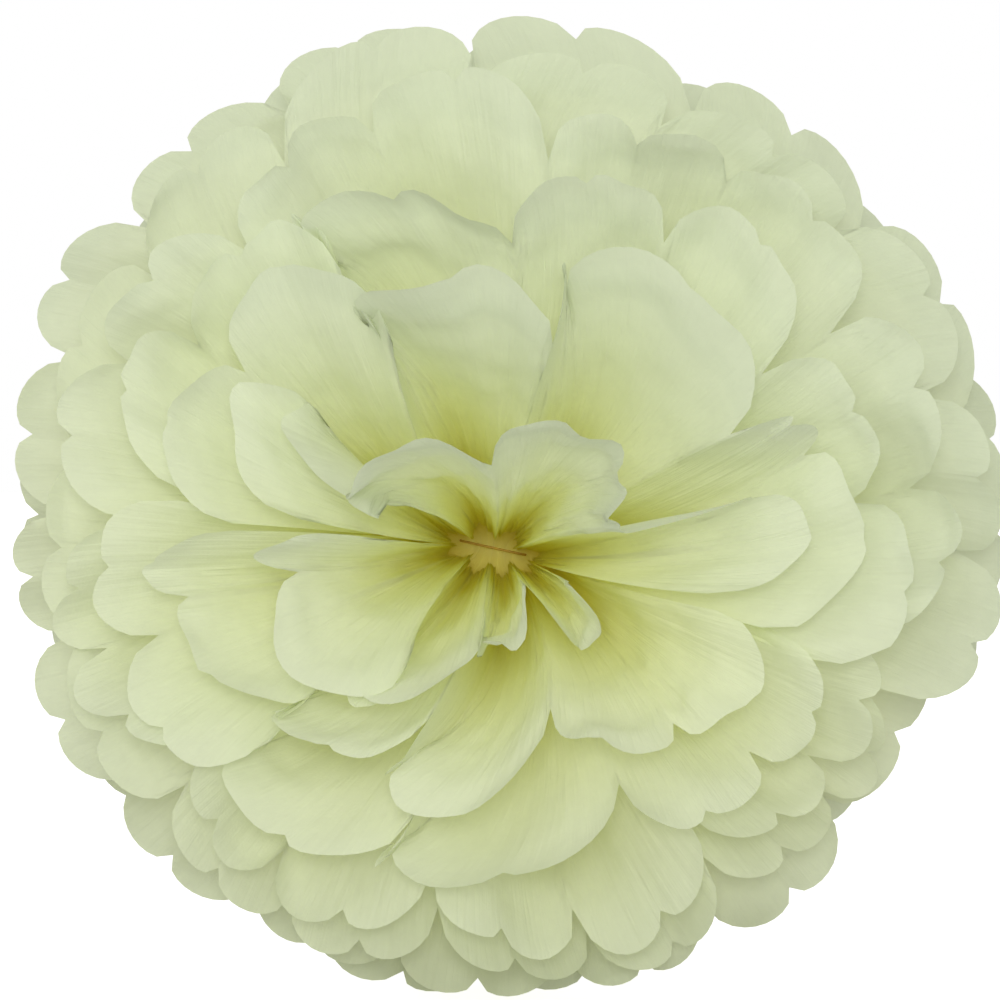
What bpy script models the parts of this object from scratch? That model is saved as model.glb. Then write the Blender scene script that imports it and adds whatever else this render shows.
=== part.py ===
"""Tissue paper pom pom: twelve pleated sheets, tied at the middle and pulled apart into a ball.

The stack was folded like a fan, so that its folds ran along Z, and both ends were cut round. A wire pinches
it at the origin, where each half opens into a fan: one up and one down. Then the sheets were lifted one by
one, the first six towards -Y and the others towards +Y, and their petals make the ball.
"""

import math
import random

import bmesh
import bpy
import numpy as np

UP, DOWN = 1, -1

# Metres. The paper is a quarter of a 500 x 700 mm sheet of tissue, 250 mm long before its ends were cut, and
# it isn't tied at its exact middle. The lengths are from the tie to the cut edge at the left, in the middle
# and at the right. Each petal is cut a little longer or shorter, and shorter where it lies folded back.
CUT_LENGTHS = {UP: (0.114, 0.133, 0.118), DOWN: (0.116, 0.113, 0.110)}
SHEET_WIDTH = 0.350
PAPER_THICKNESS = 0.0003
PANELS = 8
NOTCH_DEPTH = 0.014
# The notch between the two lobes that each petal was cut with, for each sheet from either pole
LOBE_DEPTHS = (0.0, 0.0015, 0.0035, 0.005, 0.005, 0.005)
CUT_VARIATION = 0.003
FOLDED_CUT = 0.007
GAP = 0.0003

# The stack and its tie
SHEETS = 12
WAIST_WIDTH = 0.0128
WAIST_SLOPE = math.radians(45)
NECK_LENGTH = 0.012
WIRE_RADIUS = 0.0003
WIRE_TURNS = 2.5
WIRE_TURN_LENGTH = 0.0045
WIRE_POINTS_PER_TURN = 6
TIE_CLEARANCE = 0.0014

# How the sheets are pulled apart. An opening angle is measured from -Y, the pole at the front.
INNERMOST_OPENING = math.radians(17)
OUTERMOST_OPENING = math.radians(82)
RIB_BOW = math.radians(9)
BAR_LEAN = math.radians(12.4)
SHEET_TURN = math.radians(5)
FAN_SPREADS = {UP: 187, DOWN: 172}
PLEAT_OPENING_LENGTH = 0.045
PLEAT_LIMIT = 0.55
PLEAT_SHARPNESS = 0.8
PETAL_BELLY = 0.003
# How much of a full pleat's depth is left where petals lie flat, for each sheet from either pole
PLEAT_DEPTHS = (0.35, 0.4, 0.6, 0.9, 1.0, 1.0)
SHARE_VARIATION = 0.15
FOLD_STAGGER = 0.33
LEAN_VARIATION = math.radians(4)

# The grid that a sheet is made from: its rows as shares of a rib's length, and columns in each panel
ROWS = (0.0, 0.11, 0.28, 0.63, 1.0)
WELDED_ROWS = 2
PANEL_COLUMNS = 4

# The fans that show most at the front, as they were opened by hand. Degrees: where each fold points at the
# rim, from -X to +X, and how far each petal leans out from the pole. Where the angles go back, a panel lies
# hidden behind the petal before it.
HAND_OPENED = {
    (1, UP): ((-90, -56, -84, -91, -16, 44, 66, 60, 84), (11, 9, -4, -4, -2, -6, 8, 18)),
    (1, DOWN): ((-87, -74, -14, -40, 7, -6, 57, 46, 82), (4, 6, 6, 1, -7, -13, -9, -6)),
    (2, UP): ((-96, -62, -31, -44, 4, -4, 48, 54, 92), (9, 5, 0, -4, -1, 4, 6, 9)),
    (2, DOWN): ((-82, -70, -36, -46, -12, -22, 25, 55, 90), (10, 9, 5, -1, -2, -3, -7, 4)),
    (3, UP): ((-90, -64, -36, -46, -11, 13, 40, 67, 97), (3, 4, 1, -1, -3, 0, 2, 2)),
    (3, DOWN): ((-88, -62, -34, -44, -6, -14, 38, 63, 88), (5, 3, 1, 2, 0, -2, -2, 2)),
}

PANEL_WIDTH = SHEET_WIDTH / PANELS
WAIST_FOLD = WAIST_WIDTH / PANELS
WAIST_WAVE = WAIST_FOLD * math.tan(WAIST_SLOPE) / 2
STACK_PITCH = (PAPER_THICKNESS + GAP) / math.cos(WAIST_SLOPE)
STACK_HEIGHT = (SHEETS - 1) * STACK_PITCH

TISSUE_COLOUR = (0.60, 0.66, 0.43, 1.0)
WIRE_COLOUR = (0.42, 0.34, 0.10, 1.0)


def place_from_pole(sheet):
    """0 for the sheet at either pole, counting up to the seam. Sheets are numbered from 1 at the front."""
    return min(sheet - 1, SHEETS - sheet)


def opening_angle(sheet):
    """The angle between the front pole and the petal tips of a sheet."""
    share = place_from_pole(sheet) / (SHEETS // 2 - 1)
    angle = INNERMOST_OPENING + (OUTERMOST_OPENING - INNERMOST_OPENING) * share
    return angle if sheet <= SHEETS // 2 else math.pi - angle


def hand_opened(sheet, side):
    """Where each fold of one fan points at the rim, and each petal's lean, as angles.

    A fan that isn't in the table is opened by chance. Its folds are staggered against those of the sheets
    beside it, and every second sheet is turned a little one way about the pole and the others the other way,
    so that neither the notches nor the seams between two fans lie behind each other.
    """
    if (sheet, side) in HAND_OPENED:
        folds, leans = [np.radians(angles) for angles in HAND_OPENED[sheet, side]]
        return folds, leans
    turn = side * (SHEET_TURN if sheet % 2 else -SHEET_TURN)
    chance = random.Random(1000 * sheet + 10 * side)
    shares = [1 + chance.uniform(-SHARE_VARIATION, SHARE_VARIATION) for _ in range(PANELS)]
    stagger = FOLD_STAGGER * (sheet % 3 - 1) / 2
    shares = np.array(shares)
    shares[:2] += stagger
    shares[-2:] -= stagger
    leans = [chance.uniform(-LEAN_VARIATION, LEAN_VARIATION) for _ in range(PANELS)]
    share_ends = np.concatenate([[0], np.cumsum(shares)]) / sum(shares)
    return math.radians(FAN_SPREADS[side]) * (share_ends - 0.5) + turn, np.array(leans)


def rib_length(panel, side):
    """From the tie to the cut edge, without its notches: a parabola through the three cut lengths."""
    left, middle, right = CUT_LENGTHS[side]
    place = 2 * panel / PANELS - 1
    return middle + (right - left) / 2 * place + ((left + right) / 2 - middle) * place**2


def tip_radius(panel, side, sheet):
    """The cut edge: a half ellipse over each panel and one over each of its two lobes, with a notch at each
    fold and a smaller one between the lobes.

    A petal is longer or shorter by the cut's variation, and shorter where it lies folded back behind the
    petal before it.
    """
    chance = random.Random(5000 + 10 * sheet + side)
    extra = np.array([chance.uniform(-CUT_VARIATION, CUT_VARIATION) for _ in range(PANELS)])
    rim_folds, _ = hand_opened(sheet, side)
    extra -= FOLDED_CUT * (np.diff(rim_folds) < 0)
    petal = np.clip(panel.astype(int), 0, PANELS - 1)
    across = 2 * (panel - petal) - 1
    round_top = np.sqrt(np.maximum(1 - across**2, 0))
    lobe_top = np.sqrt(np.maximum(1 - (2 * np.abs(across) - 1) ** 2, 0))
    lobe_depth = LOBE_DEPTHS[place_from_pole(sheet)]
    notch = (NOTCH_DEPTH - lobe_depth) * (1 - round_top) + lobe_depth * (1 - lobe_top)
    return rib_length(panel, side) - notch + extra[petal] * round_top


def fan_points(panel, radius, side, sheet):
    """Points on one fan of a sheet, at a place across its panels and a distance from the tie.

    A rib leaves the waist along Z, and over the neck's length it swings out to its azimuth and its opening
    angle. The pleats displace it along the sheet's normal by half the depth that is left when a panel of
    full width has to fit in its share of the cone.
    """
    rim_folds, leans = hand_opened(sheet, side)
    folds = np.arange(PANELS + 1)
    centres = folds[:-1] + 0.5
    swing = 1 - np.exp(-((radius / NECK_LENGTH) ** 2))
    reach = radius / rib_length(panel, side)

    even = math.radians(FAN_SPREADS[side]) * (panel / PANELS - 0.5)
    azimuth = (even + (np.interp(panel, folds, rim_folds) - even) * reach**2) * swing
    tip = opening_angle(sheet)
    towards_pole = 1 if sheet <= SHEETS // 2 else -1
    settled = tip - towards_pole * RIB_BOW * (1 - reach)
    lean = np.interp(panel, centres, leans) * reach**2
    opening = math.pi / 2 + (settled - math.pi / 2) * swing + lean

    cone_radius = radius * np.sin(opening)
    depths = np.sqrt(np.maximum(PANEL_WIDTH**2 - np.outer(cone_radius, np.diff(rim_folds)) ** 2, 0))
    padded = np.column_stack([depths[:, 0], depths, depths[:, -1]])
    share_left = PLEAT_SHARPNESS * PLEAT_DEPTHS[place_from_pole(sheet)]
    fold_depths = share_left * (padded[:, :-1] + padded[:, 1:]) / 4
    fold_depths *= np.where(folds % 2 == 0, 1, -1)
    left = np.clip(panel.astype(int), 0, PANELS - 1)
    part = panel - left
    row = np.arange(len(panel))
    depth = fold_depths[row, left] * (1 - part) + fold_depths[row, left + 1] * part
    opened = np.maximum(1 - np.exp(-((radius / PLEAT_OPENING_LENGTH) ** 2)), 1e-6)
    limit = PLEAT_LIMIT * cone_radius / np.abs(fold_depths).max(axis=1)
    limit = np.maximum(limit, 1e-6)
    wave = depth * (opened**-4.0 + limit**-4.0) ** -0.25
    waist_wave = WAIST_WAVE * np.interp(panel, folds, np.where(folds % 2 == 0, 1, -1))
    belly = PETAL_BELLY * np.sin(math.pi * part) * reach**2
    normal_shift = wave + waist_wave - belly

    waist_x = (panel - PANELS / 2) * WAIST_FOLD
    waist_y = (sheet - (SHEETS + 1) / 2) * STACK_PITCH
    along = np.sin(opening) * radius - np.cos(opening) * normal_shift
    x = waist_x + along * np.sin(azimuth)
    y = waist_y - np.cos(opening) * radius - np.sin(opening) * normal_shift
    z = along * np.cos(azimuth)
    return np.column_stack([x, y, side * z])


def sheet_points(column, row, sheet):
    """Where a grid's vertices go: column runs from 0 to all of a fan's columns, row is 0 at the tie."""
    step = np.abs(row)
    panel = column / PANEL_COLUMNS
    inward_fold = 0 if sheet <= SHEETS // 2 else 1
    nudge = np.where(np.floor(panel) % 2 == inward_fold, -0.1, 0.1)
    panel = np.where(step < WELDED_ROWS, np.round(panel + nudge), panel)
    points = np.empty((len(panel), 3))
    for side in (UP, DOWN):
        fan = row >= 0 if side == UP else row < 0
        inner = np.array(ROWS)[step] * rib_length(panel, side)
        radius = np.where(step == len(ROWS) - 1, tip_radius(panel, side, sheet), inner)
        points[fan] = fan_points(panel[fan], radius[fan], side, sheet)
    return points


def link(obj, collection, material):
    collection.objects.link(obj)
    obj.data.materials.append(material)
    obj.rotation_euler.y = BAR_LEAN
    return obj


def make_sheet(sheet, collection, material):
    """One sheet with its pleats: a grid laid along the ribs, and thickened."""
    rows = len(ROWS) - 1
    columns = PANELS * PANEL_COLUMNS
    work = bmesh.new()
    bmesh.ops.create_grid(work, x_segments=columns, y_segments=2 * rows, size=1)
    flat = np.array([vertex.co for vertex in work.verts])
    column = np.round((flat[:, 0] + 1) / 2 * columns)
    row = np.round(flat[:, 1] * rows).astype(int)
    for vertex, point in zip(work.verts, sheet_points(column, row, sheet)):
        vertex.co = point
    bmesh.ops.remove_doubles(work, verts=work.verts, dist=1e-6)
    bmesh.ops.triangulate(work, faces=work.faces, quad_method="SHORT_EDGE")
    mesh = bpy.data.meshes.new(f"tissue_sheet_{sheet:02d}")
    work.to_mesh(mesh)
    work.free()
    obj = link(bpy.data.objects.new(mesh.name, mesh), collection, material)
    thicken = obj.modifiers.new("paper thickness", "SOLIDIFY")
    thicken.thickness = PAPER_THICKNESS
    thicken.offset = 0
    return obj


def waist_outline():
    """The wire's centre line round the pinched waist: a rounded rectangle from the twist, and back to it."""
    clearance = TIE_CLEARANCE + WIRE_RADIUS + PAPER_THICKNESS / 2
    half_width = WAIST_WIDTH / 2 + clearance
    half_height = STACK_HEIGHT / 2 + WAIST_WAVE + clearance
    corner = 4 * WIRE_RADIUS
    points = []
    for turn, (across, up) in enumerate([(1, 1), (-1, 1), (-1, -1), (1, -1)]):
        for step in range(4):
            angle = math.pi / 2 * (turn + step / 3)
            x = across * (half_width - corner) + corner * math.cos(angle)
            y = up * (half_height - corner) + corner * math.sin(angle)
            points.append((x, y, 0.0))
    return points


def make_wire_tie(collection, material):
    """One wire bound once round the waist, whose two ends are twisted together in the seam beside it."""
    strand = WIRE_RADIUS + GAP / 2 / math.cos(math.radians(30))
    start = WAIST_WIDTH / 2 + TIE_CLEARANCE + WIRE_RADIUS + PAPER_THICKNESS / 2
    tail = []
    for step in range(round(WIRE_TURNS * WIRE_POINTS_PER_TURN) + 1):
        turn = 2 * math.pi * step / WIRE_POINTS_PER_TURN
        x = start + WIRE_TURN_LENGTH * step / WIRE_POINTS_PER_TURN
        tail.append((x, strand * math.cos(turn), strand * math.sin(turn)))
    other = [(x, -y, -z) for x, y, z in tail]
    route = tail[::-1] + waist_outline() + other
    curve = bpy.data.curves.new("wire_tie", "CURVE")
    curve.dimensions = "3D"
    curve.bevel_depth = WIRE_RADIUS
    curve.bevel_resolution = 2
    curve.use_fill_caps = True
    spline = curve.splines.new("POLY")
    spline.points.add(len(route) - 1)
    for place, point in zip(spline.points, route):
        place.co = (*point, 1.0)
    return link(bpy.data.objects.new(curve.name, curve), collection, material)


def plain_material(name, colour, roughness, metallic):
    material = bpy.data.materials.new(name)
    material.use_nodes = True
    shader = material.node_tree.nodes["Principled BSDF"]
    shader.inputs["Base Color"].default_value = colour
    shader.inputs["Roughness"].default_value = roughness
    shader.inputs["Metallic"].default_value = metallic
    return material


def main():
    for obj in list(bpy.data.objects):
        bpy.data.objects.remove(obj, do_unlink=True)
    collection = bpy.data.collections.new("tissue_paper_pom_pom")
    bpy.context.scene.collection.children.link(collection)
    for sheet in range(1, SHEETS + 1):
        tissue = plain_material(f"tissue_{sheet:02d}", TISSUE_COLOUR, 0.9, 0.0)
        make_sheet(sheet, collection, tissue)
    make_wire_tie(collection, plain_material("tie_wire", WIRE_COLOUR, 0.45, 1.0))


main()
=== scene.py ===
"""The looks of the tissue paper pom pom: twelve pleated sheets in fine detail, the wire tie and the stage.

Every length is in metres. The pom pom is tied at the origin, -Y is its front and +Z is up.
"""

import math
import random

import bpy
import numpy as np
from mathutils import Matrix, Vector


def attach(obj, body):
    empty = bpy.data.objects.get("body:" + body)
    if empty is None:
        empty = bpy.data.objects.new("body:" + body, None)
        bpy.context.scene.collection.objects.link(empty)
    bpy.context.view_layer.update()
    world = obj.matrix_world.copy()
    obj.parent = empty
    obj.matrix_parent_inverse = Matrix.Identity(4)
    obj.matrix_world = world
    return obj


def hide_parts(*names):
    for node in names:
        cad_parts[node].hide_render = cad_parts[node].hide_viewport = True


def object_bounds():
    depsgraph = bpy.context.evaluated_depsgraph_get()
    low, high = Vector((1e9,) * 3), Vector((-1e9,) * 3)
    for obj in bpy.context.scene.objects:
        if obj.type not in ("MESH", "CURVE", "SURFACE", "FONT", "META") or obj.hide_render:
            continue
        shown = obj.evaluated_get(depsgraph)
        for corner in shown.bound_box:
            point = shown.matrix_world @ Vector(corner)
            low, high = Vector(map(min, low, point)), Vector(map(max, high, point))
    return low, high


bl_info = {
    "name": "Tissue Paper Pom Pom",
    "version": (1, 0, 0),
    "blender": (4, 5, 0),
    "location": "View3D > Sidebar > Pom Pom",
    "description": "Dresses the CAD model of a tissue paper pom pom: pleated sheets, wire tie and stage",
    "category": "Add Mesh",
}

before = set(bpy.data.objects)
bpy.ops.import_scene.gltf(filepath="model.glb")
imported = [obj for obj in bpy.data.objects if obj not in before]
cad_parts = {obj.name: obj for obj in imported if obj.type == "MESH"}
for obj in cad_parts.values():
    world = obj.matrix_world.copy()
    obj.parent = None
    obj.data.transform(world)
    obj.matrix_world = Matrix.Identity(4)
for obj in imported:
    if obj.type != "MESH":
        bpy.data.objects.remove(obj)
CAD_BOX = [list(corner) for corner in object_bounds()]
SHEET_NODES = sorted(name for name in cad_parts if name.startswith("tissue_sheet_"))
SHEETS = len(SHEET_NODES)
UP, DOWN = 1, -1

# The stack and its tie, as the CAD model has them
PANELS = 8
HALF_LENGTH = 0.125
PANEL_WIDTH = 0.350 / PANELS
NOTCH_DEPTH = 0.014
# The notch between the two lobes of each petal, for each sheet from either pole
LOBE_DEPTHS = (0.0, 0.0015, 0.0035, 0.005, 0.005, 0.005)
WAIST_FOLD = 0.0128 / PANELS
WAIST_WAVE = WAIST_FOLD / 2
NECK_LENGTH = 0.012
STACK_PITCH = 0.0006 / math.cos(math.radians(45))
FAN_SPREADS = {UP: math.radians(187), DOWN: math.radians(172)}
INNERMOST_OPENING = math.radians(17)
OUTERMOST_OPENING = math.radians(82)
RIB_BOW = math.radians(9)
BAR_LEAN = math.radians(12.4)
SHEET_TURN = math.radians(5)
PLEAT_OPENING_LENGTH = 0.045
PLEAT_LIMIT = 0.55
PLEAT_SHARPNESS = 0.8
PETAL_BELLY = 0.003
SHARE_VARIATION = 0.15
FOLD_STAGGER = 0.33
LEAN_VARIATION = math.radians(4)
# Degrees: where each fold points at the rim, from -X to +X, and how far each petal leans out from the pole
HAND_OPENED = {
    (1, UP): ((-90, -56, -84, -91, -16, 44, 66, 60, 84), (11, 9, -4, -4, -2, -6, 8, 18)),
    (1, DOWN): ((-87, -74, -14, -40, 7, -6, 57, 46, 82), (4, 6, 6, 1, -7, -13, -9, -6)),
    (2, UP): ((-96, -62, -31, -44, 4, -4, 48, 54, 92), (9, 5, 0, -4, -1, 4, 6, 9)),
    (2, DOWN): ((-82, -70, -36, -46, -12, -22, 25, 55, 90), (10, 9, 5, -1, -2, -3, -7, 4)),
    (3, UP): ((-90, -64, -36, -46, -11, 13, 40, 67, 97), (3, 4, 1, -1, -3, 0, 2, 2)),
    (3, DOWN): ((-88, -62, -34, -44, -6, -14, 38, 63, 88), (5, 3, 1, 2, 0, -2, -2, 2)),
}
# How much of a full pleat's depth is left where petals lie flat, for each sheet from either pole
PLEAT_DEPTHS = (0.35, 0.4, 0.6, 0.9, 1.0, 1.0)
# How far the cut edge lies from the tie at the left, in the middle and at the right of each fan
CUT_LENGTHS = {UP: (0.114, 0.133, 0.118), DOWN: (0.116, 0.113, 0.110)}
CUT_VARIATION = 0.003
FOLDED_CUT = 0.007

# Beside the wire, finer than in the CAD model: how soon the ribs fan out, how much of that the outermost ones
# have at the tie and how much shorter their neck is, and how far past the seam every second sheet reaches
FAN_NECK_LENGTH = 0.006
EDGE_FLARE = 0.65
EDGE_NECK_CUT = 0.6
SEAM_OVERLAP = 0.2
SEAM_OVERLAP_LENGTH = 0.03

# Where the edge's waves, its curl and its lip start, as shares of the way from the tie to the cut edge
WAVE_START = 0.6
CURL_START = 0.8
LIP_START = 0.93
# The waves in each soft form: how many, and the finest and the coarsest in metres
EDGE_WAVES = (5, 0.012, 0.035)
LIP_WAVES = (4, 0.03, 0.09)
CRUMPLE_WAVES = (9, 0.018, 0.06)
WRINKLE_WAVES = (16, 0.008, 0.018)
# The creases of one fan: how many, how far they slant in metres over a rib, and half their width in metres
CREASES = 60
CREASE_SLANT = 0.006
CREASE_HALF_WIDTHS = (0.002, 0.006)
# Up to where they rise and where they end, as shares of a rib, how long they fade, and their least height
CREASE_START = 0.25
CREASE_ENDS = (0.55, 1.15)
CREASE_FADE = 0.3
LEAST_CREASE = 0.4
# A sum of sines over the square root of their number stays nearly always below this
NOISE_PEAK = 1.4
# The folds are as soft as they get from this share of a rib on, and the dents as deep from this one on
FOLDS_SOFT = 1 / 1.2
DENTS_DEEP = 1 / 1.5
# The power of the smooth minimum of two pleat depths, and a depth or share that stands for none
BLEND_POWER = 4.0
TINY = 1e-6

# The grid of one sheet: columns over each panel, and rows from the tie to each cut edge
PANEL_COLUMNS = 18
FAN_ROWS = 50

# The stage: a floor just below the pom pom, which is lifted to white for the camera, an even light from all
# round, and two round lamps before the object, each with its place, its power in watts and its width
FLOOR_GAP = 0.002
FLOOR_WIDTH = 16.0
FLOOR_LIFT = 0.8
AMBIENT_STRENGTH = 0.65
LAMPS = (
    ("key_light", (-0.5, -1.6, 0.6), 4.5, 1.0),
    ("fill_light", (0.0, -1.85, 0.2), 12.0, 0.4),
)
# The camera looks from the front and a degree above; its sensor is in millimetres, as in a real camera
CAMERA_RISE = math.radians(1)
CAMERA_AIM = (0.00175, 0, 0.01175)
CAMERA_DISTANCE = 1.1
SENSOR_WIDTH = 36
PICTURE_WIDTH = 0.250


def linear(hex_colour):
    """An sRGB hex colour as linear red, green, blue and alpha."""
    channels = [int(hex_colour[place : place + 2], 16) / 255 for place in (1, 3, 5)]
    return [c / 12.92 if c <= 0.04045 else ((c + 0.055) / 1.055) ** 2.4 for c in channels] + [1.0]


def size_property(name, description, default):
    return bpy.props.FloatProperty(name=name, description=description, default=default, unit="LENGTH")


def colour_property(name, description, hex_colour):
    return bpy.props.FloatVectorProperty(
        name=name, description=description, default=linear(hex_colour), size=4, min=0, max=1, subtype="COLOR"
    )


class PomSizes(bpy.types.PropertyGroup):
    """The paper and how it was handled."""

    fold_softness: bpy.props.FloatProperty(
        name="Fold softness",
        description="How far the folds are rounded out at the cut edge",
        default=0.85,
        min=0,
        max=1,
        subtype="FACTOR",
    )
    edge_curl: size_property("Edge curl", "How far a petal's edge bends out of its face", 0.0050)
    edge_wave: size_property("Edge wave", "Height of the waves along the cut edge", 0.0024)
    edge_lip: size_property("Edge lip", "How far the last few millimetres are bent over", 0.0022)
    crease_height: size_property("Crease height", "Height of the creases along the ribs", 0.0012)
    crumple_height: size_property("Crumple height", "Height of the soft dents in a petal", 0.0012)
    wrinkle_height: size_property("Wrinkle height", "Height of the fine wrinkles in the tissue", 0.0004)


class PomColours(bpy.types.PropertyGroup):
    """The colours of the paper and the light and shade painted on it, the wire and the stage."""

    # The five paper colours are painted light and shade on one paper. The rim is greyed by painted shade, and
    # from the edge to the tie a paler and then deeper yellow is painted for the light that goes between the
    # close layers. The tie is painted too, where the dye is no deeper.
    paper_and_rim_shade: colour_property("Paper at the edge", "Where one layer is seen", "#e0e7cc")
    pale_painted_layer_light: colour_property("Paper behind the edge", "Where two or three layers are seen", "#fbfee0")
    inner_painted_layer_light: colour_property("Paper inside", "Where many layers lie close", "#fdfec0")
    deep_painted_layer_light: colour_property("Paper in the folds", "Where they close around the tie", "#fff83c")
    tie_painted_layer_light: colour_property("Paper at the tie", "Where the dye is pressed together", "#fffaa0")
    fold_glow: colour_property("Glow of the folds", "Light that goes from fold to fold at the tie", "#e8cf20")
    wire: colour_property("Wire", "Colour of the tie's metal", "#c8a43c")
    floor: colour_property("Floor", "Colour of the floor and the backdrop", "#dededc")


def place_from_pole(sheet):
    """0 for the innermost sheet at either pole."""
    return min(sheet - 1, SHEETS - sheet)


def opening_angle(sheet):
    """The angle between the front pole and a sheet's petal tips: even steps in each half of the stack."""
    half = SHEETS // 2
    place = place_from_pole(sheet)
    angle = INNERMOST_OPENING + (OUTERMOST_OPENING - INNERMOST_OPENING) * place / (half - 1)
    return angle if sheet <= half else math.pi - angle


def hand_opened(sheet, side):
    """Where each fold of one fan points at the rim, and each petal's lean, as angles: from the table, or else
    from uneven shares of the fan for its panels, staggered against those of the next sheets."""
    if (sheet, side) in HAND_OPENED:
        return [np.radians(angles) for angles in HAND_OPENED[sheet, side]]
    chance = random.Random(1000 * sheet + 10 * side)
    shares = np.array([1 + chance.uniform(-SHARE_VARIATION, SHARE_VARIATION) for _ in range(PANELS)])
    leans = np.array([chance.uniform(-LEAN_VARIATION, LEAN_VARIATION) for _ in range(PANELS)])
    stagger = FOLD_STAGGER * (sheet % 3 - 1) / 2
    shares[:2] += stagger
    shares[-2:] -= stagger
    share_ends = np.concatenate([[0], np.cumsum(shares)]) / sum(shares)
    turn = side * (SHEET_TURN if sheet % 2 else -SHEET_TURN)
    return FAN_SPREADS[side] * (share_ends - 0.5) + turn, leans


def rib_length(panel, side):
    """From the tie to the cut edge, without the scallops: a parabola through the three cut lengths."""
    left, middle, right = CUT_LENGTHS[side]
    place = 2 * panel / PANELS - 1
    return middle + (right - left) / 2 * place + ((left + right) / 2 - middle) * place**2


def tip_radius(panel, side, sheet):
    """The cut edge: a half ellipse over each panel and one over each of its two lobes, with a notch at each
    fold and between the lobes. Each petal is a little longer or shorter, and shorter still where it is folded
    back."""
    chance = random.Random(5000 + 10 * sheet + side)
    extra = np.array([chance.uniform(-CUT_VARIATION, CUT_VARIATION) for _ in range(PANELS)])
    rim_folds, _ = hand_opened(sheet, side)
    extra -= FOLDED_CUT * (np.diff(rim_folds) < 0)
    petal = np.clip(panel.astype(int), 0, PANELS - 1)
    across = 2 * (panel - petal) - 1
    round_top = np.sqrt(np.maximum(1 - across**2, 0))
    lobe_top = np.sqrt(np.maximum(1 - (2 * np.abs(across) - 1) ** 2, 0))
    lobe_depth = LOBE_DEPTHS[place_from_pole(sheet)]
    notch = (NOTCH_DEPTH - lobe_depth) * (1 - round_top) + lobe_depth * (1 - lobe_top)
    return rib_length(panel, side) - notch + extra[petal] * round_top


def soft_noise(across, along, chance, waves, finest, coarsest):
    """A smooth height from -1 to 1: a sum of sines in random directions, whose lengths lie in a range."""
    total = np.zeros_like(across)
    for _ in range(waves):
        angle = chance.uniform(0, math.pi)
        number = 2 * math.pi / chance.uniform(finest, coarsest)
        phase = chance.uniform(0, 2 * math.pi)
        total += np.sin(number * (across * math.cos(angle) + along * math.sin(angle)) + phase)
    return total / math.sqrt(waves) / NOISE_PEAK


def creases(across, reach, chance):
    """Sharp low ridges and valleys along the ribs: tents over random places across the sheet, which fade out
    at the tie and at a random distance from it."""
    total = np.zeros_like(across)
    for _ in range(CREASES):
        middle = chance.uniform(0, PANELS * PANEL_WIDTH)
        slant = chance.uniform(-CREASE_SLANT, CREASE_SLANT)
        half_width = chance.uniform(*CREASE_HALF_WIDTHS)
        end = chance.uniform(*CREASE_ENDS)
        height = chance.choice((-1, 1)) * chance.uniform(LEAST_CREASE, 1)
        tent = np.maximum(1 - np.abs(across - middle - slant * reach) / half_width, 0)
        fade = np.clip((end - reach) / CREASE_FADE, 0, 1) * np.minimum(reach / CREASE_START, 1)
        total += height * tent * fade
    return total


def towards_edge(share, start):
    """0 up to a share of the way from the tie, from where it climbs to 1 at the cut edge."""
    return np.clip((share - start) / (1 - start), 0, 1)


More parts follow.
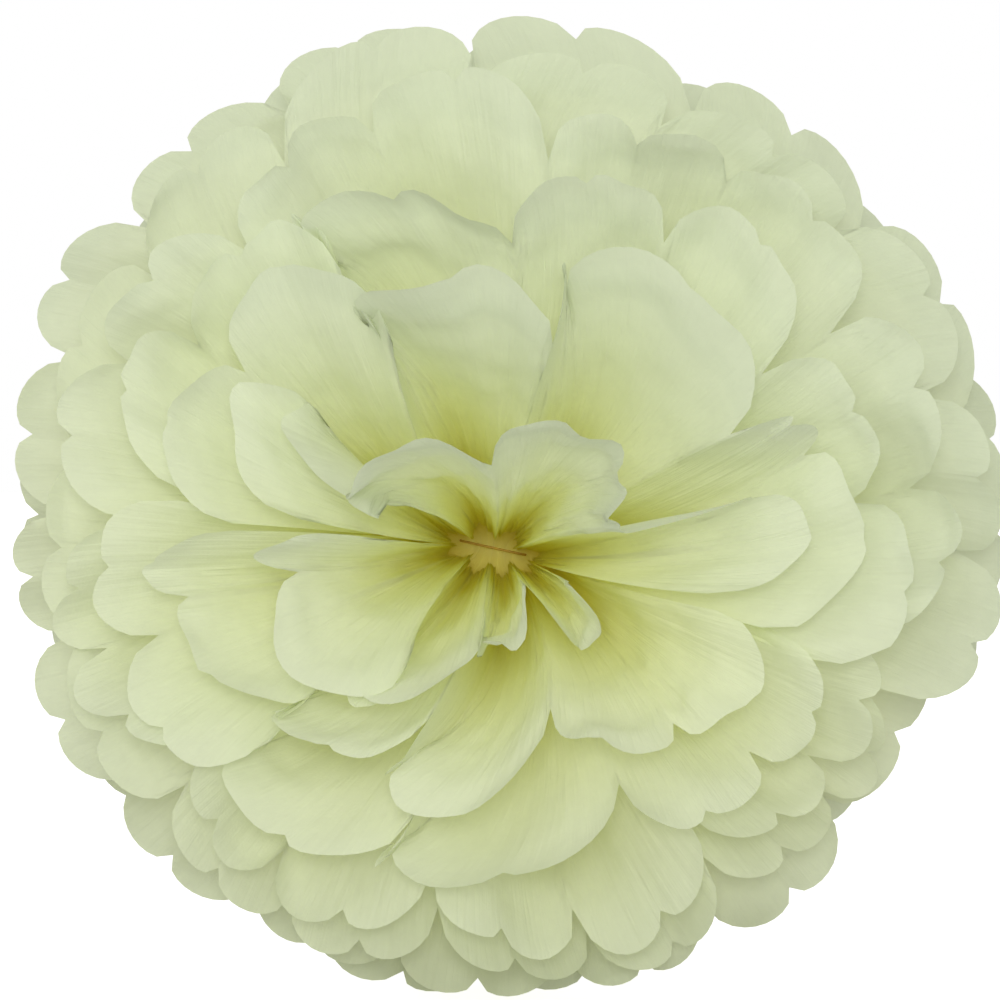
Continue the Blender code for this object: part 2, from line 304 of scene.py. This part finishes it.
def fan_points(panel, share, side, sheet, sizes):
    """One fan of a sheet as a surface: panel counts across its panels, share runs from the tie to the edge.

    A rib leaves the waist along Z, and over the neck it swings out to its azimuth and its opening angle by
    1 - exp(-(radius / neck)^2). The pleats displace it along the sheet's normal by half the depth of a panel
    that fits in its share of the cone, sqrt(panel width^2 - share of the cone^2), as a zigzag at the tie and
    rounded towards the edge. Curls, waves, creases and dents are added along the same normal.
    """
    radius = share * tip_radius(panel, side, sheet)
    rim_folds, leans = hand_opened(sheet, side)
    folds = np.arange(PANELS + 1)
    centres = folds[:-1] + 0.5
    swing = 1 - np.exp(-((radius / NECK_LENGTH) ** 2))
    # The outermost ribs flare at once beside the wire
    outermost = np.abs(2 * panel / PANELS - 1) ** 4
    neck = FAN_NECK_LENGTH * (1 - EDGE_NECK_CUT * outermost)
    fanned = 1 - (1 - EDGE_FLARE * outermost) * np.exp(-((radius / neck) ** 2))
    reach = radius / rib_length(panel, side)

    # Beside the tie each sheet's upper or lower half reaches past the seam, and the next sheet's other half
    past = side * (1 if sheet % 2 else -1) * SEAM_OVERLAP * np.exp(-((radius / SEAM_OVERLAP_LENGTH) ** 2))
    even = FAN_SPREADS[side] * (panel / PANELS - 0.5) * (1 + past)
    azimuth = (even + (np.interp(panel, folds, rim_folds) - even) * reach**2) * fanned
    tip = opening_angle(sheet)
    towards_pole = 1 if sheet <= SHEETS // 2 else -1
    settled = tip - towards_pole * RIB_BOW * (1 - reach)
    lean = np.interp(panel, centres, leans) * reach**2
    opening = math.pi / 2 + (settled - math.pi / 2) * swing + lean

    cone_radius = radius * np.sin(opening)
    widths = cone_radius[..., None] * np.diff(rim_folds)
    depths = np.sqrt(np.maximum(PANEL_WIDTH**2 - widths**2, 0))
    padded = np.concatenate([depths[..., :1], depths, depths[..., -1:]], axis=-1)
    depth_share = PLEAT_DEPTHS[place_from_pole(sheet)] * PLEAT_SHARPNESS
    fold_depths = depth_share * (padded[..., :-1] + padded[..., 1:]) / 4
    limit = PLEAT_LIMIT * cone_radius / np.maximum(fold_depths.max(axis=-1), TINY)
    limit = np.maximum(limit, TINY)
    zigzag = np.where(folds % 2 == 0, 1, -1)
    fold_depths = fold_depths * zigzag
    left = np.clip(panel.astype(int), 0, PANELS - 1)
    part = panel - left
    rounded = (1 - np.cos(math.pi * part)) / 2
    bend = part + sizes.fold_softness * np.minimum(reach / FOLDS_SOFT, 1) * (rounded - part)
    near = np.take_along_axis(fold_depths, left[..., None], axis=-1)[..., 0]
    far = np.take_along_axis(fold_depths, left[..., None] + 1, axis=-1)[..., 0]
    opened = np.maximum(1 - np.exp(-((radius / PLEAT_OPENING_LENGTH) ** 2)), TINY)
    wave = (near + (far - near) * bend) * (opened**-BLEND_POWER + limit**-BLEND_POWER) ** (-1 / BLEND_POWER)
    waist_wave = WAIST_WAVE * np.interp(panel, folds, zigzag)
    belly = PETAL_BELLY * np.sin(math.pi * part) * reach**2

    chance = random.Random(7000 + 100 * sheet + side)
    curls = np.array([chance.uniform(-1, 1) for _ in range(PANELS)])
    curl = sizes.edge_curl * curls[left] * np.sin(math.pi * part) ** 0.5
    curl *= towards_edge(share, CURL_START) ** 2
    across = panel * PANEL_WIDTH
    ripple = soft_noise(across, 0 * across, chance, *EDGE_WAVES)
    edge = sizes.edge_wave * ripple * towards_edge(share, WAVE_START) ** 2
    crease = sizes.crease_height * creases(across, reach, chance)
    crumple = sizes.crumple_height * soft_noise(across, radius, chance, *CRUMPLE_WAVES)
    wrinkle = sizes.wrinkle_height * soft_noise(across, radius, chance, *WRINKLE_WAVES)
    lip = sizes.edge_lip * soft_noise(across, 0 * across, chance, *LIP_WAVES)
    lip *= towards_edge(share, LIP_START) ** 1.5
    detail = curl + edge + lip + crease + (crumple + wrinkle) * np.minimum(reach / DENTS_DEEP, 1)
    normal_shift = wave + waist_wave - belly + detail * swing

    waist_x = (panel - PANELS / 2) * WAIST_FOLD
    waist_y = (sheet - (SHEETS + 1) / 2) * STACK_PITCH
    along_cone = np.sin(opening) * radius - np.cos(opening) * normal_shift
    x = waist_x + along_cone * np.sin(azimuth)
    y = waist_y - np.cos(opening) * radius - np.sin(opening) * normal_shift
    z = side * along_cone * np.cos(azimuth)
    lean_cos, lean_sin = math.cos(BAR_LEAN), math.sin(BAR_LEAN)
    return np.stack([x * lean_cos + z * lean_sin, y, z * lean_cos - x * lean_sin], axis=-1)


def grid_faces(rows, columns):
    """Quads over a grid of rows by columns of points."""
    corner = np.arange(rows * columns).reshape(rows, columns)
    quads = [corner[:-1, :-1], corner[:-1, 1:], corner[1:, 1:], corner[1:, :-1]]
    return np.stack(quads, axis=-1).reshape(-1, 4)


def mesh_of(name, points, faces, flat=None):
    """A mesh from arrays, with the flat sheet's own places in metres as a UV map."""
    mesh = bpy.data.meshes.new(name)
    mesh.from_pydata(points.tolist(), [], faces.tolist())
    if flat is not None:
        uv_map = mesh.uv_layers.new(name="paper")
        uv_map.data.foreach_set("uv", flat[faces.ravel()].ravel().astype(np.float32))
    mesh.shade_smooth()
    return mesh


def add_piece(name, mesh, material, replaced):
    """An object at the origin that rides with the pom pom and stands for a CAD node."""
    piece = bpy.data.objects.new(name, mesh)
    bpy.context.scene.collection.objects.link(piece)
    piece.data.materials.append(material)
    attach(piece, "root")
    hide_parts(replaced)
    return piece


def add_node(tree, kind, *inputs, **named):
    """One shader node. Inputs without a name fill its sockets in order, capitalised names fill the sockets
    called so, and small ones are the node's own settings. A node as an input stands for its first output."""
    node = tree.nodes.new("ShaderNode" + kind)
    # The settings come first, because some sockets are there only after them
    settings = [name for name in named if name.islower()]
    for name in settings:
        setattr(node, name, named.pop(name))
    filled = list(zip(node.inputs, inputs))
    filled += [(node.inputs[name.replace("_", " ")], value) for name, value in named.items()]
    for socket, value in filled:
        if isinstance(value, bpy.types.Node):
            value = value.outputs[0]
        if isinstance(value, bpy.types.NodeSocket):
            tree.links.new(value, socket)
        else:
            socket.default_value = value
    return node


def add_ramp(tree, along, stops, interpolation="LINEAR"):
    """A colour ramp with a colour at each place from 0 to 1, in order."""
    node = add_node(tree, "ValToRGB", along)
    ramp = node.color_ramp
    ramp.interpolation = interpolation
    for end in (0, -1):
        ramp.elements[end].position, ramp.elements[end].color = stops[end]
    for place, colour in stops[1:-1]:
        ramp.elements.new(place).color = colour
    return node


def new_material(name):
    material = bpy.data.materials.new(name)
    material.use_nodes = True
    material.node_tree.nodes.clear()
    return material, material.node_tree


def calendered_tissue_paper(colours):
    """Machine-glazed tissue, 17 g/m2: matt, and so thin that it glows where light comes from behind. Its
    fibres clump into clouds a few millimetres across. Its colour has painted light and shade: a deeper yellow
    where layers lie close, and a greyer rim."""
    material, tree = new_material("calendered_tissue_paper")
    paper = add_node(tree, "UVMap", uv_map="paper")
    distance = add_node(tree, "Math", add_node(tree, "SeparateXYZ", paper).outputs["Y"], operation="ABSOLUTE")
    along = add_node(tree, "MapRange", distance, From_Max=HALF_LENGTH)

    # Painted light and shade: from the tie to the cut edge fewer and fewer layers lie behind each other, so
    # the painted yellow of the light between them pales to cream, and the rim is greyed by painted shade
    stops = (
        (0.02, colours.tie_painted_layer_light),
        (0.26, colours.deep_painted_layer_light),
        (0.42, colours.inner_painted_layer_light),
        (0.66, colours.pale_painted_layer_light),
        (0.95, colours.paper_and_rim_shade),
    )
    # depth holds this painted light and shade of the layers, which the paper's base colour carries
    depth = add_ramp(tree, along, stops, "B_SPLINE")
    # Fibre clouds of about 4 mm make the paper a little lighter and darker
    clouds = add_node(tree, "TexNoise", paper, Scale=250.0, Detail=2.0, Roughness=0.6)
    cloud_level = add_node(tree, "MapRange", clouds, From_Min=0.3, From_Max=0.7, To_Min=0.985, To_Max=1.012)
    tinted = add_node(tree, "VectorMath", depth, Scale=cloud_level, operation="SCALE")

    # Fine creases along the ribs, about 2.5 mm apart and 40 mm long, and a grain of fibres of 0.7 mm
    stretched = add_node(tree, "Mapping", paper, Scale=(400.0, 28.0, 1.0))
    creased = add_node(tree, "TexNoise", stretched, Scale=1.0, Detail=3.0, Roughness=0.55)
    grain = add_node(tree, "TexNoise", paper, Scale=1400.0, Detail=0.0)
    creasing = add_node(tree, "Bump", Strength=0.7, Distance=0.0008, Height=creased)
    bump = add_node(tree, "Bump", Strength=0.15, Distance=0.0002, Height=grain, Normal=creasing)

    # Beside the tie the light that goes from fold to fold is more than the render's bounces carry
    fold_glow = add_node(tree, "MapRange", distance, From_Max=0.035, To_Min=0.07, To_Max=0.0)
    face = add_node(
        tree,
        "BsdfPrincipled",
        Base_Color=tinted,
        Roughness=0.8,
        Specular_IOR_Level=0.3,
        Emission_Color=colours.fold_glow,
        Emission_Strength=fold_glow,
        Normal=bump,
    )
    material.cycles.emission_sampling = "NONE"

    # Light comes through the folds from their neighbours, and least where layers are pressed at the tie
    shares = ((0.0, 0.2), (0.1, 0.4), (0.3, 0.58), (0.5, 0.55), (1.0, 0.4))
    through = add_ramp(tree, along, [(place, (share, share, share, 1)) for place, share in shares])
    glow = add_node(tree, "BsdfTranslucent", tinted, Normal=bump)
    add_node(tree, "OutputMaterial", add_node(tree, "MixShader", through, face, glow))
    return material


def drawn_florist_wire(colours):
    """Annealed iron wire with a brassy lacquer, drawn through a die: fine lines along it and a dull shine."""
    material, tree = new_material("drawn_florist_wire")
    place = add_node(tree, "TexCoord").outputs["Object"]
    # Lacquer worn in patches of about 2 mm, and drawing lines of about 0.1 mm
    worn = add_node(tree, "TexNoise", place, Scale=500.0, Detail=3.0)
    tone = add_node(tree, "MapRange", worn, To_Min=0.75, To_Max=1.15)
    tinted = add_node(tree, "VectorMath", colours.wire[:3], Scale=tone, operation="SCALE")
    lines = add_node(tree, "TexNoise", place, Scale=9000.0, Detail=1.0)
    bump = add_node(tree, "Bump", Strength=0.2, Distance=0.00003, Height=lines)
    metal = add_node(tree, "BsdfPrincipled", tinted, Metallic=0.3, Roughness=0.6, Normal=bump)
    add_node(tree, "OutputMaterial", metal)
    return material


def backdrop_share(tree):
    """1 for rays that show the backdrop to the camera, directly, in metal or through glass, and 0 for those
    that light the paper. Light that the paper lets through is both a transmission and a diffuse ray."""
    path = add_node(tree, "LightPath").outputs
    seen = add_node(tree, "Math", path["Is Glossy Ray"], path["Is Transmission Ray"], operation="MAXIMUM")
    clear = add_node(tree, "Math", seen, path["Is Diffuse Ray"], operation="SUBTRACT", use_clamp=True)
    return add_node(tree, "Math", clear, path["Is Camera Ray"], operation="MAXIMUM")


def matt_studio_paper(colours):
    """A seamless roll of matt white paper: even, and pure white to the camera, with the object's shadow."""
    material, tree = new_material("matt_studio_paper")
    lift = add_node(tree, "Math", backdrop_share(tree), FLOOR_LIFT, operation="MULTIPLY")
    matt = add_node(
        tree,
        "BsdfPrincipled",
        Base_Color=colours.floor,
        Roughness=0.9,
        Emission_Color=(1, 1, 1, 1),
        Emission_Strength=lift,
    )
    material.cycles.emission_sampling = "NONE"
    add_node(tree, "OutputMaterial", matt)
    return material


class POMPOM_OT_tissue_sheets(bpy.types.Operator):
    """Makes the twelve pleated sheets, each from its own row of hand-opened folds."""

    bl_idname = "pompom.tissue_sheets"
    bl_label = "Tissue sheets"

    def execute(self, context):
        sizes = context.scene.pom_sizes
        material = calendered_tissue_paper(context.scene.pom_colours)
        columns = PANELS * PANEL_COLUMNS + 1
        rows = 2 * FAN_ROWS + 1
        # Half even and half eased, so that the rows lie closer at the tie and at the cut edges
        even = np.linspace(-1, 1, rows)
        eased = np.sign(even) * (1 - np.cos(math.pi * even)) / 2
        panel, row = np.meshgrid(np.linspace(0, PANELS, columns), (even + eased) / 2)
        faces = grid_faces(rows, columns)
        upper = row >= 0
        for sheet, node in enumerate(SHEET_NODES, start=1):
            cut = np.where(upper, tip_radius(panel, UP, sheet), tip_radius(panel, DOWN, sheet))
            flat = np.stack([panel * PANEL_WIDTH, row * cut], axis=-1).reshape(-1, 2)
            up = fan_points(panel, np.abs(row), UP, sheet, sizes)
            down = fan_points(panel, np.abs(row), DOWN, sheet, sizes)
            points = np.where(upper[..., None], up, down).reshape(-1, 3)
            mesh = mesh_of(f"pleated_tissue_{sheet:02d}", points, faces, flat)
            add_piece(mesh.name, mesh, material, node)
        return {"FINISHED"}


class POMPOM_OT_wire_tie(bpy.types.Operator):
    """Gives the wire round the waist its metal."""

    bl_idname = "pompom.wire_tie"
    bl_label = "Wire tie"

    def execute(self, context):
        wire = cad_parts["wire_tie"]
        wire.data.materials.clear()
        wire.data.materials.append(drawn_florist_wire(context.scene.pom_colours))
        return {"FINISHED"}


class POMPOM_OT_stage(bpy.types.Operator):
    """Adds the floor, the soft studio light and the camera at the photograph's angle."""

    bl_idname = "pompom.stage"
    bl_label = "Stage"

    def execute(self, context):
        scene = context.scene
        height = CAD_BOX[0][2] - FLOOR_GAP
        half = FLOOR_WIDTH / 2
        square = ((-half, -half), (half, -half), (half, half), (-half, half))
        corners = np.array([[x, y, height] for x, y in square])
        floor = bpy.data.objects.new("floor", mesh_of("floor", corners, np.array([[0, 1, 2, 3]])))
        scene.collection.objects.link(floor)
        floor.data.materials.append(matt_studio_paper(scene.pom_colours))

        world = bpy.data.worlds.new("white_studio")
        world.use_nodes = True
        tree = world.node_tree
        tree.nodes.clear()
        strength = add_node(tree, "MapRange", backdrop_share(tree), To_Min=AMBIENT_STRENGTH)
        add_node(tree, "OutputWorld", add_node(tree, "Background", (1, 1, 1, 1), strength))
        scene.world = world

        for name, place, power, size in LAMPS:
            data = bpy.data.lights.new(name, "AREA")
            data.energy = power
            data.shape = "DISK"
            data.size = size
            lamp = bpy.data.objects.new(name, data)
            lamp.location = place
            lamp.rotation_euler = Vector(place).to_track_quat("Z", "Y").to_euler()
            scene.collection.objects.link(lamp)

        # The lens is so long that the picture is PICTURE_WIDTH wide at the tie
        data = bpy.data.cameras.new("camera")
        data.sensor_width = SENSOR_WIDTH
        data.lens = SENSOR_WIDTH * CAMERA_DISTANCE / PICTURE_WIDTH
        camera = bpy.data.objects.new("camera", data)
        camera_direction = Vector((0, -math.cos(CAMERA_RISE), math.sin(CAMERA_RISE)))
        camera.location = Vector(CAMERA_AIM) + CAMERA_DISTANCE * camera_direction
        camera.rotation_euler = (math.pi / 2 - CAMERA_RISE, 0, 0)
        scene.collection.objects.link(camera)
        scene.camera = camera
        scene.view_settings.view_transform = "Standard"
        return {"FINISHED"}


class POMPOM_PT_sidebar(bpy.types.Panel):
    """Lists the pieces, and the sizes and colours that they are made with."""

    bl_idname = "POMPOM_PT_sidebar"
    bl_label = "Pom Pom"
    bl_space_type = "VIEW_3D"
    bl_region_type = "UI"
    bl_category = "Pom Pom"

    def draw(self, context):
        for group in (context.scene.pom_sizes, context.scene.pom_colours):
            for name in group.__annotations__:
                self.layout.prop(group, name)
        for operator in OPERATORS:
            self.layout.operator(operator.bl_idname)


OPERATORS = (POMPOM_OT_tissue_sheets, POMPOM_OT_wire_tie, POMPOM_OT_stage)
CLASSES = (PomSizes, PomColours, *OPERATORS, POMPOM_PT_sidebar)


def register():
    for each in CLASSES:
        bpy.utils.register_class(each)
    bpy.types.Scene.pom_sizes = bpy.props.PointerProperty(type=PomSizes)
    bpy.types.Scene.pom_colours = bpy.props.PointerProperty(type=PomColours)


def unregister():
    del bpy.types.Scene.pom_colours
    del bpy.types.Scene.pom_sizes
    for each in reversed(CLASSES):
        bpy.utils.unregister_class(each)


def main():
    register()
    bpy.ops.pompom.tissue_sheets()
    bpy.ops.pompom.wire_tie()
    bpy.ops.pompom.stage()


if __name__ == "__main__":
    main()
